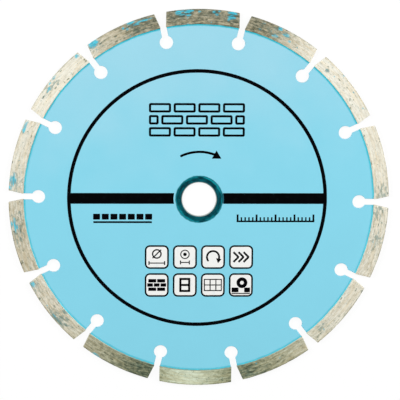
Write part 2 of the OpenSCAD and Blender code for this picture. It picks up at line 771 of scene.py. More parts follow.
@dataclass(frozen=True)
class Ink:
    """Screen-printed ink: an even film with faint mesh marks and thin spots."""

    name: str
    colour: Colour
    thin: Colour
    rough: float = 0.42
    shine: float = 0.02
    depth: float = 0.004

    def make(self) -> bpy.types.Material:
        """Builds the material.

        Returns:
            The ink.
        """
        recipe = Recipe(self.name)
        film = recipe.noise(recipe.point, scale=0.5, detail=3.0)
        mesh = recipe.noise(recipe.point, scale=6.0, detail=1.0)
        return recipe.surface(
            Base_Color=recipe.mix(film.step(0.52, 0.8) * 0.5 + mesh.sway(0.2), self.colour, self.thin),
            Specular_IOR_Level=self.shine,
            Roughness=self.rough + film.sway(0.15) + mesh.sway(0.1),
            Normal=recipe.bump(mesh * 0.6 + film * 0.4, self.depth),
        )


@dataclass(frozen=True)
class RingLacquer:
    """Thin dark lacquer on the turned steel ring, paler at its outer edge and worn to the metal at its bore,
    with a painted highlight that widens the pale edge at the upper right and lower left.

    It pales between two distances in from its edge, and is worn between two distances out from its bore.
    """

    bore_r: float
    ring_r: float
    colour: Colour = srgb(0, 94, 103)
    dark: Colour = srgb(0, 44, 54)
    pale: Colour = srgb(20, 150, 162)
    steel: Colour = srgb(206, 214, 210)
    pale_edge: Pair = (0.8, -0.1)
    worn_edge: Pair = (0.5, 0.1)
    shine: float = 0.1
    depth: float = 0.015

    def make(self) -> bpy.types.Material:
        """Builds the material.

        Returns:
            The lacquer.
        """
        recipe = Recipe("ring_lacquer")
        x, y, z, radius = recipe.round_axle()
        arc = recipe.math("ARCTAN2", y, x) * self.ring_r
        blotch = recipe.noise(recipe.vector(arc * 0.3, radius * 0.9, z), scale=1.0, detail=4.0, rough=0.6)
        turned = recipe.noise(recipe.vector(arc * 0.15, radius * 4.0, z * 4.0), scale=1.0)
        # Painted highlight: the pale edge is widened towards the upper right and lower left, where the outer
        # chamfer would catch the light.
        painted_highlight_slant = (x * y).step(0.1 * self.ring_r**2, 0.5 * self.ring_r**2)
        outer = radius + blotch.sway(2.0) + painted_highlight_slant * 0.6
        thin = outer.step(*(self.ring_r - width for width in self.pale_edge))
        bare = (radius + blotch.sway(0.5)).step(*(self.bore_r + width for width in self.worn_edge))
        coat = recipe.mix((blotch * 0.7 + turned * 0.3).step(0.36, 0.66), self.dark, self.colour)
        return recipe.surface(
            Base_Color=recipe.mix(bare * 0.85, recipe.mix(thin * 0.8, coat, self.pale), self.steel),
            Metallic=bare * 0.6,
            Roughness=0.38 + turned.sway(0.3),
            Specular_IOR_Level=self.shine,
            Normal=recipe.bump(turned * 0.7 + blotch * 0.3, self.depth),
        )


@dataclass(frozen=True)
class Paper:
    """White paper that shows white to the camera and in reflections, and still takes the blade's shadow."""

    colour: Colour = srgb(238, 238, 238)
    fibre: Colour = srgb(244, 244, 244)
    glow: float = 1.02
    glow_share: float = 0.9

    def make(self) -> bpy.types.Material:
        """Builds the material.

        Returns:
            The paper.
        """
        recipe = Recipe("paper")
        path = recipe.node("ShaderNodeLightPath").outputs
        seen = Signal(recipe, path["Is Camera Ray"])
        for name in ("Is Glossy Ray", "Is Transmission Ray"):
            seen = recipe.math("MAXIMUM", seen, Signal(recipe, path[name]))
        sheet = recipe.mix(recipe.noise(recipe.point, scale=0.02), self.colour, self.fibre)
        plain = recipe.signal("ShaderNodeBsdfDiffuse", inputs={"Color": sheet})
        white = recipe.signal("ShaderNodeEmission", inputs={"Color": WHITE, "Strength": self.glow})
        shaders = {"Fac": seen * self.glow_share, "Shader": plain, "Shader_001": white}
        return recipe.end(recipe.signal("ShaderNodeMixShader", inputs=shaders))


@dataclass(frozen=True)
class BladeSizes:
    """The sizes of the blade, in millimetres, as the frame has them."""

    count: int
    core_face: float
    rim_r: float
    blade_r: float
    segment_face: float
    segment_half: float
    slot_half: float
    seam_top: float
    ring_bore_r: float
    ring_r: float

    @classmethod
    def from_frame(cls) -> Self:
        """Reads the sizes from the boxes of the CAD nodes.

        Returns:
            The sizes.
        """
        nodes = ("steel_core", "segment_01", "weld_seam_01", "reducing_ring")
        core, segment, seam, ring = (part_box(node)[1] / MM for node in nodes)
        bore = next(mount for mount in frame["record"]["mounts"] if mount["name"] == "arbor_bore")
        count = sum(name.startswith("segment_") for name in frame["nodes"])
        return cls(
            count=count,
            core_face=core.z,
            rim_r=core.y,
            blade_r=segment.y,
            segment_face=segment.z,
            segment_half=segment.x,
            slot_half=core.y * math.sin(math.pi / count - math.asin(seam.x / core.y)),
            seam_top=seam.z,
            ring_bore_r=bore["dims"]["r_mm"],
            ring_r=ring.x,
        )

    @property
    def numbers(self) -> range:
        """The numbers of the segments, from 1, clockwise on the printed face."""
        return range(1, self.count + 1)

    def turn(self, number: int) -> float:
        """Gives the turn about Z that brings a piece on +Y to a segment's place."""
        return -(number - 1) * math.tau / self.count


class Residue(Enum):
    """What core paint leaves on a segment, by the name that the metal reads it by."""

    PAINT = "paint"
    STAIN = "stain"


@dataclass(frozen=True)
class Patch:
    """A patch of residue on a segment, in millimetres along it (clockwise) and up from its foot."""

    segment: int
    along: float
    up: float
    half_length: float
    half_height: float
    strength: float
    behind: bool = False
    fullness: float = 1.1
    fall: float = 0.75

    def cover(self, along: np.ndarray, up: np.ndarray, on_back: np.ndarray) -> np.ndarray:
        """Gives how much residue there is at each point: full in the middle, and none past the edge.

        Args:
            along: The places of the points along the segment.
            up: Their heights above its foot.
            on_back: Whether they are on its back.

        Returns:
            The amounts.
        """
        away = ((along - self.along) / self.half_length) ** 2 + ((up - self.up) / self.half_height) ** 2
        blot = self.strength * np.clip(self.fullness - self.fall * away, 0.0, 1.0)
        return np.where(on_back == self.behind, blot, 0.0)


# Smears of core paint on the printed side: segment, along, up, half length, half height and strength.
SMEARS = (
    Patch(1, -11.6, 5.9, 1.6, 1.2, 1.05),
    Patch(1, -9.6, 6.5, 2.2, 0.6, 0.9),
    Patch(1, -6.6, 6.2, 2.1, 0.8, 1.3),
    Patch(1, -7.2, 4.2, 1.7, 0.7, 1.0),
    Patch(1, -9.8, 4.8, 2.4, 0.6, 0.6),
    Patch(1, -1.6, 5.7, 0.9, 0.6, 0.6),
    Patch(1, 5.2, 5.9, 0.9, 0.7, 0.8),
    Patch(1, 6.4, 4.7, 0.9, 0.6, 1.0),
    Patch(1, 7.6, 6.4, 0.7, 0.6, 1.0),
    Patch(1, 14.0, 6.4, 2.4, 0.7, 1.2),
    Patch(1, 13.4, 4.4, 1.9, 0.9, 1.1),
    Patch(1, 12.1, 3.1, 0.7, 0.7, 0.9),
    Patch(2, -2.6, 6.2, 1.3, 0.9, 1.1),
    Patch(2, 1.3, 4.6, 2.0, 1.1, 0.58),
    Patch(2, -3.4, 2.2, 1.7, 0.8, 0.85),
    Patch(2, 3.8, 2.8, 0.9, 0.6, 0.55),
    Patch(2, -10.8, 5.8, 1.2, 0.6, 0.45),
    Patch(2, -11.0, 2.5, 1.0, 0.5, 0.45),
    Patch(9, 9.8, 6.6, 2.2, 0.6, 0.75),
    Patch(10, -2.4, 5.6, 1.0, 0.5, 0.7),
    Patch(10, 15.7, 5.9, 1.5, 1.1, 0.75),
    Patch(11, 5.8, 4.9, 3.6, 0.6, 1.15),
    Patch(11, 5.0, 4.2, 1.3, 0.6, 1.0),
    Patch(11, 6.6, 6.4, 1.6, 0.5, 0.8),
    Patch(12, -11.5, 5.0, 3.2, 0.5, 1.2),
    Patch(12, -12.2, 6.1, 2.2, 0.8, 0.9),
    Patch(12, -15.6, 6.2, 1.2, 0.8, 0.6),
    Patch(12, -12.0, 4.0, 1.4, 0.5, 0.9),
    Patch(12, 14.0, 5.9, 3.2, 0.9, 0.9),
    Patch(13, -4.8, 5.0, 1.6, 0.7, 0.8),
    Patch(13, -2.3, 6.4, 1.0, 0.5, 0.8),
    Patch(13, 0.8, 6.3, 1.5, 0.5, 0.95),
    Patch(13, 15.8, 5.9, 1.2, 0.9, 0.95),
    Patch(14, -14.4, 6.0, 2.5, 1.6, 1.4),
    Patch(14, 1.2, 5.6, 0.8, 0.7, 1.0),
    Patch(14, 3.0, 4.5, 0.7, 0.8, 0.9),
    Patch(14, 5.3, 6.5, 2.2, 0.55, 1.2),
    Patch(14, 7.8, 5.0, 1.7, 0.6, 0.9),
    Patch(14, 11.5, 5.7, 4.2, 0.45, 0.85),
)

# Stains, in the same form: wide and faint where the strength is 1, and small and deep above that.
STAINS = (
    Patch(1, -11.0, 4.0, 6.0, 3.0, 1.0),
    Patch(1, 3.0, 5.2, 8.0, 1.6, 1.0),
    Patch(1, 14.0, 3.5, 5.0, 3.0, 1.0),
    Patch(1, -9.0, 5.0, 4.5, 2.0, 1.7),
    Patch(1, 6.2, 5.4, 2.2, 1.4, 1.6),
    Patch(1, 13.6, 4.8, 3.0, 2.2, 1.7),
    Patch(2, -6.0, 3.5, 8.0, 3.0, 1.0),
    Patch(2, -3.4, 5.9, 2.0, 1.0, 1.7),
    Patch(2, 1.2, 4.6, 2.4, 1.4, 1.6),
    Patch(3, -12.0, 2.7, 1.1, 0.9, 2.4),
    Patch(4, 15.0, 3.5, 5.0, 3.5, 1.0),
    Patch(5, -14.0, 2.5, 4.5, 3.0, 1.0),
    Patch(5, -1.0, 4.0, 5.0, 3.0, 1.0),
    Patch(6, 10.0, 3.0, 4.0, 2.0, 1.0),
    Patch(7, 13.0, 3.5, 8.0, 4.0, 1.0),
    Patch(9, -13.0, 3.5, 8.0, 4.5, 1.0),
    Patch(10, -5.0, 4.5, 8.0, 3.0, 1.0),
    Patch(10, -4.6, 5.8, 4.6, 0.9, 2.4),
    Patch(10, -5.4, 3.5, 2.2, 0.7, 2.0),
    Patch(10, -9.6, 4.7, 0.9, 0.8, 2.0),
    Patch(10, -7.2, 1.9, 1.6, 0.7, 1.8),
    Patch(10, -4.0, 0.9, 1.6, 0.9, 1.8),
    Patch(10, 15.0, 5.0, 4.0, 2.5, 1.0),
    Patch(11, 5.0, 4.0, 8.0, 3.5, 1.0),
    Patch(11, -0.8, 3.4, 1.8, 0.9, 1.8),
    Patch(11, 11.6, 2.0, 1.0, 0.8, 1.8),
    Patch(12, -13.0, 3.8, 6.5, 4.2, 1.0),
    Patch(12, -12.6, 4.2, 2.0, 0.7, 2.0),
    Patch(13, -3.0, 5.0, 7.0, 2.0, 1.0),
    Patch(13, -0.2, 3.0, 0.8, 0.6, 1.8),
    Patch(13, -4.0, 4.2, 1.2, 0.6, 1.6),
    Patch(14, -14.0, 4.5, 5.0, 2.5, 1.0),
    Patch(14, 8.0, 4.0, 9.0, 3.5, 1.0),
    Patch(14, 7.0, 2.6, 2.4, 1.6, 1.6),
    Patch(14, 6.0, 5.2, 3.5, 1.2, 1.7),
    Patch(14, 12.0, 5.9, 3.6, 0.8, 1.6),
)

# Painted sheen: how much paler or darker a segment is painted than others would be in its place, because its
# slight tilt would catch the light in its own way.
PAINTED_TILT_SHEEN = {6: 0.06, 9: -0.13, 11: -0.1, 13: 0.05}


@dataclass(frozen=True)
class Sheen:
    """Painted sheen of the ground metal round the blade: painted dull at the top and the foot, and pale at
    the two sides.

    The metal is painted pale where it faces far enough to the side, sooner and more slowly low down and on
    the left.
    Each share says how far the left counts as low. The lowest segment has a painted glint of its own.
    """

    low_level: float = 0.75
    low_rate: float = 1.2
    dull: float = 0.17
    dull_drop_low: float = 0.02
    gain: float = 0.83
    gain_drop_low: float = 0.2
    gain_drop_low_left: float = 0.08
    start: float = 0.3
    start_drop_low: float = 0.1
    start_left_share: float = 0.6
    reach: float = 0.36
    reach_gain_low: float = 0.27
    reach_left_share: float = 0.75
    glint: float = 0.7
    glint_along: float = 3.0
    glint_width: float = 14.0

    def tones(self, angle: np.ndarray) -> tuple[np.ndarray, np.ndarray]:
        """Gives the painted sheen: how pale and how green the metal is painted, green where it is dull and
        low.

        Args:
            angle: The direction of each point from the middle of the blade, from +X.

        Returns:
            How pale the metal is painted by the painted sheen, and how green it is painted, at each point,
            from 0 to 1.
        """
        low = np.clip(self.low_level - np.sin(angle) * self.low_rate, 0.0, 1.0)
        left = (np.cos(angle) < 0.0).astype(float)
        start = self.start - self.start_drop_low * np.maximum(low, left * self.start_left_share)
        reach = self.reach + self.reach_gain_low * np.maximum(low, left * self.reach_left_share)
        painted_sheen_side = np.clip((np.abs(np.cos(angle)) - start) / reach, 0.0, 1.0)
        pale = painted_sheen_side**2 * (3.0 - 2.0 * painted_sheen_side)
        gain = self.gain - self.gain_drop_low * low - self.gain_drop_low_left * low * left
        return self.dull - self.dull_drop_low * low + pale * gain, low * (1.0 - pale)

    def glow(self, along: np.ndarray) -> np.ndarray:
        """Gives the painted glint on the lowest segment: how much paler it is painted, by the places along
        it.
        """
        return self.glint * np.exp(-(((along - self.glint_along) / self.glint_width) ** 2))


class Side(Enum):
    """The sides of a segment that stones stand in, by the way that they face."""

    FRONT = (0.0, 0.0, 1.0)
    BACK = (0.0, 0.0, -1.0)
    CROWN = (0.0, 1.0, 0.0)
    END = (1.0, 0.0, 0.0)


class Wear(Enum):
    """Where a segment wears, by the name of the vertex group that says how much."""

    FACES = "worn"
    CORNERS = "corner"


class Pattern(Enum):
    """The patterns that hollows come in, by the kind of texture that makes them."""

    CELLS = "VORONOI"
    CLOUDS = "CLOUDS"


@dataclass(frozen=True)
class Hollows:
    """A kind of wear on the segments: hollows in a pattern, in one place.

    The pattern is a full hollow where its value is low, and level where it is high.
    """

    where: Wear
    pattern: Pattern
    size: float
    low: float
    high: float
    depth: float

    def settings(self) -> dict[str, Any]:
        """Makes the pattern, black in the hollows and white elsewhere.

        Returns:
            The settings of a Displace modifier that moves points inwards only.
        """
        texture = bpy.data.textures.new(f"{self.where.value}_hollows", self.pattern.value)
        texture.noise_scale = self.size
        texture.use_color_ramp = True
        stops = ((self.low, BLACK), (self.high, WHITE))
        for stop, (place, colour) in zip(texture.color_ramp.elements, stops):
            stop.position = place
            stop.color = colour
        return {
            "texture": texture,
            "strength": self.depth,
            "mid_level": 1.0,
            "vertex_group": self.where.value,
        }


@dataclass
class DiamondSegments:
    """The abrasive blocks round the rim: pressed, ground, pitted, with a few stones showing."""

    sizes: BladeSizes
    sheen: Sheen = Sheen()
    edge: float = 0.14
    recess: float = 0.04
    along_cuts: int = 88
    height_cuts: int = 17
    side_cuts: int = 5
    foot_clear: float = 0.3
    foot_fade: float = 0.8
    corner_width: float = 0.5
    pits: Hollows = Hollows(Wear.FACES, Pattern.CELLS, size=1.9, low=0.05, high=0.34, depth=0.07)
    waves: Hollows = Hollows(Wear.FACES, Pattern.CLOUDS, size=2.6, low=0.3, high=0.7, depth=0.03)
    chips: Hollows = Hollows(Wear.CORNERS, Pattern.CLOUDS, size=1.1, low=0.28, high=0.5, depth=0.09)
    smooth: float = math.radians(40)
    crown_edge: float = 0.35
    crown_fade: float = 0.15
    crown_shade: float = 0.5
    tone_spread: float = 0.02
    back_from: float = -0.5
    back_smears_most: int = 3
    back_smear_along: Pair = (-16.0, 16.0)
    back_smear_up: Pair = (5.2, 6.6)
    back_smear_half: Pair = (2.0, 5.0)
    back_smear_half_height: float = 1.2
    back_smear_strength: float = 0.75
    stones_each: int = 35
    stone_sides: tuple[Side, ...] = (Side.FRONT, Side.BACK, Side.CROWN) * 2 + (Side.END,)
    stone_size: float = 0.42
    stone_least: float = 0.6
    stone_corner: float = 0.44
    stone_margin: float = 0.6
    stone_foot_margin: float = 0.8
    stone_crown_margin: float = 0.5
    stone_smooth: float = math.radians(10)
    seed: int = 7

    @property
    def height(self) -> float:
        """The height of a segment above the rim of the core."""
        return self.sizes.blade_r - self.sizes.rim_r

    def curve(self, point: Vector) -> Vector:
        """Bends a point of a straight block to the rim.

        Args:
            point: Along X, up Y from the foot, and across Z.

        Returns:
            The point on a segment that is centred on +Y.
        """
        foot = math.sqrt(self.sizes.rim_r**2 - point.x**2)
        crown = math.sqrt(self.sizes.blade_r**2 - point.x**2)
        return Vector((point.x, foot + (crown - foot) * point.y / self.height, point.z))

    def blank(self) -> tuple[Workpiece, np.ndarray]:
        """Makes one block with rounded edges, cut fine enough to be worn, and curved to the rim.

        Returns:
            The block, and a row each of its points' places along, up and across it before it was curved.
        """
        block = Workpiece.cube()
        lengths = Vector((2 * self.sizes.segment_half, self.height, 2 * self.sizes.segment_face))
        lengths -= Vector((2.0, 1.0, 2.0)) * self.recess
        with block.editing():
            resize(*lengths)
            bpy.ops.mesh.bevel(offset=self.edge, segments=2, affect="EDGES")
        block.place((0.0, lengths.y / 2, 0.0))
        block.cut(Axis.X, self.along_cuts).cut(Axis.Y, self.height_cuts).cut(Axis.Z, self.side_cuts)
        straight = block.points()
        along, up, across = straight
        clear_of_foot = np.clip((up - self.foot_clear) / self.foot_fade, 0.0, 1.0)
        block.group(Wear.FACES.value, clear_of_foot)
        to_end = self.sizes.segment_half - np.abs(along)
        to_face = self.sizes.segment_face - np.abs(across)
        to_crown = self.height - up
        second_nearest = np.sort(np.stack([to_end, to_face, to_crown]), axis=0)[1]
        near_corner = np.clip(1.0 - second_nearest / self.corner_width, 0.0, 1.0)
        block.group(Wear.CORNERS.value, clear_of_foot * near_corner)
        return block.reshape(self.curve), straight

    def smear(self, piece: Workpiece, straight: np.ndarray, number: int, chance: random.Random) -> None:
        """Marks where core paint is left on a segment, and how pale its metal is painted by the painted
        sheen.

        Args:
            piece: The segment.
            straight: Its points' places along, up and across it.
            number: Its number.
            chance: Gives the smears on the back, which have no pattern.
        """
        along, up, across = straight
        behind = tuple(
            Patch(
                number,
                chance.uniform(*self.back_smear_along),
                chance.uniform(*self.back_smear_up),
                chance.uniform(*self.back_smear_half),
                self.back_smear_half_height,
                self.back_smear_strength,
                behind=True,
            )
            for _ in range(chance.randint(0, self.back_smears_most))
        )
        for residue, patches in ((Residue.PAINT, SMEARS + behind), (Residue.STAIN, STAINS)):
            amount = np.zeros(len(along))
            for patch in patches:
                if patch.segment == number:
                    amount = np.maximum(amount, patch.cover(along, up, across < self.back_from))
            piece.write(residue.value, amount)
        # Painted sheen: how pale each point is painted follows how its direction would catch the side
        # lights, with a painted glint on the lowest segment and a small random spread.
        tone, painted_cast = self.sheen.tones(math.pi / 2 + self.sizes.turn(number) - along / self.sizes.blade_r)
        lowest = self.sizes.count // 2 + 1
        if number == lowest:
            tone += self.sheen.glow(along)
        tone += PAINTED_TILT_SHEEN.get(number, 0.0) + chance.uniform(-self.tone_spread, self.tone_spread)
        # Painted shade: the metal is painted darker in a band just below the crown.
        crown = np.clip((up - self.height + self.crown_edge) / self.crown_fade, 0.0, 1.0)
        piece.write("tone", tone * (1.0 - self.crown_shade * crown))
        piece.write("olive", painted_cast)

    def crystal(self) -> Workpiece:
        """Makes one crystal: a cube with its corners cut off.

        Returns:
            The crystal, 1 mm across.
        """
        crystal = Workpiece.cube()
        with crystal.editing():
            bpy.ops.mesh.bevel(offset=self.stone_corner, segments=1, affect="VERTICES")
        return crystal

    def set_stones(self, crystal: Workpiece, number: int, chance: random.Random) -> list[Workpiece]:
        """Sets crystals into the faces, crown and ends of one segment.

        Args:
            crystal: The crystal to copy.
            number: The segment's number.
            chance: Gives their places, sizes and turns.

        Returns:
            The stones.
        """
        stones = []
        limits = (self.sizes.segment_half, self.height, self.sizes.segment_face)
        half = self.sizes.segment_half - self.stone_margin
        face = self.sizes.segment_face - self.stone_margin
        for index in range(self.stones_each):
            along = chance.uniform(-half, half)
            up = chance.uniform(self.stone_foot_margin, self.height - self.stone_crown_margin)
            inside = (along, up, chance.uniform(-face, face))
            side = self.stone_sides[index % len(self.stone_sides)]
            out = Vector(side.value)
            if side is Side.END:
                out.x = math.copysign(1.0, along)
            spot = Vector([way * limit if way else place for way, limit, place in zip(out, limits, inside)])
            stone = crystal.copy()
            stone.mesh.transform(
                Matrix.Rotation(chance.uniform(0.0, math.tau), 4, "X")
                @ Matrix.Rotation(chance.uniform(0.0, math.pi), 4, "Y")
                @ Matrix.Scale(self.stone_size * chance.uniform(self.stone_least, 1.0), 4)
            )
            reach = max(vertex.co.dot(out) for vertex in stone.mesh.vertices)
            stone.place(self.curve(spot - out * reach))
            stones.append(stone.place(turn=self.sizes.turn(number)))
        return stones

    def build(self) -> None:
        """Builds and dresses all segments and their stones."""
        chance = random.Random(self.seed)
        metal = GroundSinter((self.sizes.rim_r + self.sizes.blade_r) / 2).make()
        block, straight = self.blank()
        crystal = self.crystal()
        wear = [hollows.settings() for hollows in (self.pits, self.waves, self.chips)]
        stones = []
        for number in self.sizes.numbers:
            piece = block.copy().place(turn=self.sizes.turn(number))
            for settings in wear:
                piece.modify("DISPLACE", **settings)
            piece.item.vertex_groups.clear()
            self.smear(piece, straight, number, chance)
            stones += self.set_stones(crystal, number, chance)
            finished = piece.settle(f"diamond_segment_{number:02d}", metal, self.smooth, "segment_metal")
            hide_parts(f"segment_{number:02d}")
        block.discard()
        crystal.discard()
        stones[0].join(stones[1:]).settle("diamond_grit", GritCrystal().make(), self.stone_smooth)


@dataclass
class WeldSeams:
    """The painted beads that join the segments to the core, with the ripples of the weld."""

    sizes: BladeSizes
    width: float = 0.6
    depth: float = 0.4
    hollow: float = 0.05
    crest: float = 0.06
    edge_break: float = 0.15
    steps: int = 96
    ripple: float = 0.05
    ripple_size: float = 0.45
    ripple_level: float = 0.6
    smooth: float = math.radians(50)
    foot_share: float = 0.2
    rim_margin: float = 0.02

    def bead(self) -> Workpiece:
        """Makes one bead on the printed face, centred on +Y.

        Returns:
            The bead, with the points that are free to ripple in a group.
        """
        rim, face, top = self.sizes.rim_r, self.sizes.core_face, self.sizes.seam_top
        corners = (
            (rim - self.width, face),
            (rim - self.width / 2, (face + top) / 2 - self.hollow),
            (rim - self.crest, top - self.crest),
            (rim, top),
            (rim, face),
            (rim, face - self.depth),
        )
        bead = Workpiece.disc(1.0, len(corners))
        for vertex, (out, height) in zip(bead.mesh.vertices, corners):
            vertex.co = (out, 0.0, height)
        half_turn = math.pi / self.sizes.count - math.asin((self.sizes.slot_half + self.edge_break) / rim)
        bead.place(turn=math.pi / 2 - half_turn)
        with bead.editing():
            bpy.ops.mesh.spin(steps=self.steps, angle=-2 * half_turn, center=ORIGIN, axis=AXLE)
            bpy.ops.mesh.select_all(action="SELECT")
            bpy.ops.mesh.normals_make_consistent(inside=False)
        x, y, _ = bead.points()
        to_rim = rim - np.hypot(x, y)
        free = (to_rim < self.width * (1.0 - self.foot_share)) & (to_rim > self.rim_margin)
        bead.group("free", free)
        return bead

    def build(self) -> None:
        """Builds and dresses the beads, two for each segment."""
        paint = SeamPaint(self.sizes.rim_r).make()
        bead = self.bead()
        ripples = bpy.data.textures.new("weld_ripples", "CLOUDS")
        ripples.noise_scale = self.ripple_size
        settings = {"texture": ripples, "strength": self.ripple, "mid_level": self.ripple_level}
        for number in self.sizes.numbers:
            front = bead.copy().place(turn=self.sizes.turn(number))
            front.modify("DISPLACE", vertex_group="free", **settings)
            front.item.vertex_groups.clear()
            back = front.copy()
            back.mesh.transform(Matrix.Scale(-1.0, 4, AXLE))
            front.join([back])
            finished = front.settle(f"weld_bead_{number:02d}", paint, self.smooth, "seam_paint")
            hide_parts(f"weld_seam_{number:02d}")
        bead.discard()


@dataclass
class Film:
    """Flat shapes in one ink, in millimetres of the print, drawn about a point that can be moved."""

    about: Pair = (0.0, 0.0)
    shapes: list[Workpiece] = field(default_factory=list)
    bar_corner: float = 0.12
    bar_steps: int = 3
    frame_steps: int = 6
    block_corner: float = 0.2
    thin_line: float = 0.5
    end_tick: Pair = (0.55, 1.9)
    arc_cuts: int = 27
    cap_steps: int = 20
    dot_steps: int = 24
    hoop_steps: int = 48

    def put(self, shape: Workpiece, x: float = 0.0, y: float = 0.0, turn: float = 0.0) -> None:
        """Adds a shape that is centred on the origin, by its place and its turn."""
        self.shapes.append(shape.place((self.about[0] + x, self.about[1] + y, 0.0), turn))

    def bar(
        self, x: float, y: float, width: float, height: float, turn: float = 0.0, corner: float = bar_corner
    ) -> None:
        """Adds a solid bar with rounded corners, by its middle, its size and its turn."""
        self.put(Workpiece.plate(width, height, corner, self.bar_steps), x, y, turn)

    def outline(self, x: float, y: float, width: float, height: float, corner: float, line: float) -> None:
        """Adds an outline of a rounded rectangle.

        Args:
            x: The middle of the outline across the print.
            y: The middle of the outline up the print.
            width: Its outer width.
            height: Its outer height.
            corner: The radius of its outer corners.
            line: The width of its line.
        """
        piece = Workpiece.plate(width, height, corner, self.frame_steps)
        with piece.editing():
            bpy.ops.mesh.inset(thickness=line)
            bpy.ops.mesh.delete(type="FACE")
        self.put(piece, x, y)

    def arc(self, x: float, y: float, radius: float, stroke: float, start: float, end: float) -> None:
        """Adds a stroke along an arc, with a round start.

        Args:
            x: The arc's centre across the print.
            y: The arc's centre up the print.
            radius: The radius of the stroke's middle line.
            stroke: The width of the stroke.
            start: The angle where it starts.
            end: The angle where it ends.
        """

        def bend(point: Vector) -> Vector:
            """Takes a point of a straight strip along X to the arc."""
            angle = start + (end - start) * (point.x / STRIP + 0.5)
            return Vector((math.cos(angle), math.sin(angle), 0.0)) * (radius + point.y)

        self.put(Workpiece.sheet(STRIP, stroke).cut(Axis.X, self.arc_cuts).reshape(bend), x, y)
        cap = Workpiece.disc(stroke / 2, self.cap_steps)
        self.put(cap, x + radius * math.cos(start), y + radius * math.sin(start))

    def wedge(self, x: float, y: float, radius: float, turn: float) -> None:
        """Adds a triangle by its middle, its reach to a corner, and the way that a corner points."""
        self.put(Workpiece.disc(radius, 3), x, y, turn - math.pi / 2)

    def hoop(self, x: float, y: float, radius: float, stroke: float) -> None:
        """Adds a ring by its centre, the radius of its middle line and its width."""
        self.put(Workpiece.hoop(radius, stroke, self.hoop_steps), x, y)

    def size_line(self, y: float, width: float) -> None:
        """Adds a dimension line with a tick at each end.

        Args:
            y: Its place up the print.
            width: Its length.
        """
        self.bar(0.0, y, width, self.thin_line)
        for end in (-width / 2, width / 2):
            self.bar(end, y, *self.end_tick)


class TileMark(Enum):
    """The plain signs in the printed tiles, row by row."""

    OUTSIDE_SIZE = 1
    HOLE_SIZE = 2
    TURNING = 3
    FAST = 4
    BRICKWORK = 5
    HOLLOW_BLOCK = 6
    PAVING = 7
    SAW_CUT = 8


